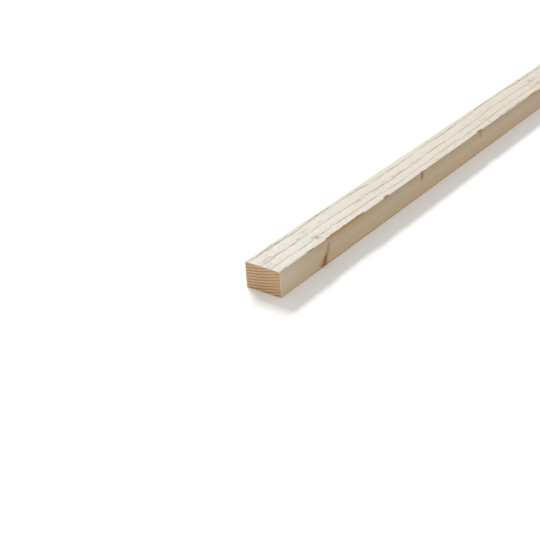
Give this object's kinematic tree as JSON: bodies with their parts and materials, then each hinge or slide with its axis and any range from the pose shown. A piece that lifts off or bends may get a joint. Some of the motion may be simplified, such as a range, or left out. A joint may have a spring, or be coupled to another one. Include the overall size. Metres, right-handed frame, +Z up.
{
  "type": "timber batten",
  "caption": "Straight length of sawn softwood with a rectangular section, used to fix cladding, tiles or boards to.",
  "frame": {"origin": "middle of the underside, the broad face that the batten lies on", "axes": "+X along the length and the grain, +Y across the broad face, +Z up through the thickness"},
  "size_m": [2.4, 0.056, 0.038],
  "materials": {
    "sawn_spruce": "rough sawn, unplaned and untreated"
  },
  "bodies": {
    "root": {"batten": "sawn_spruce"}
  },
  "joints": []
}
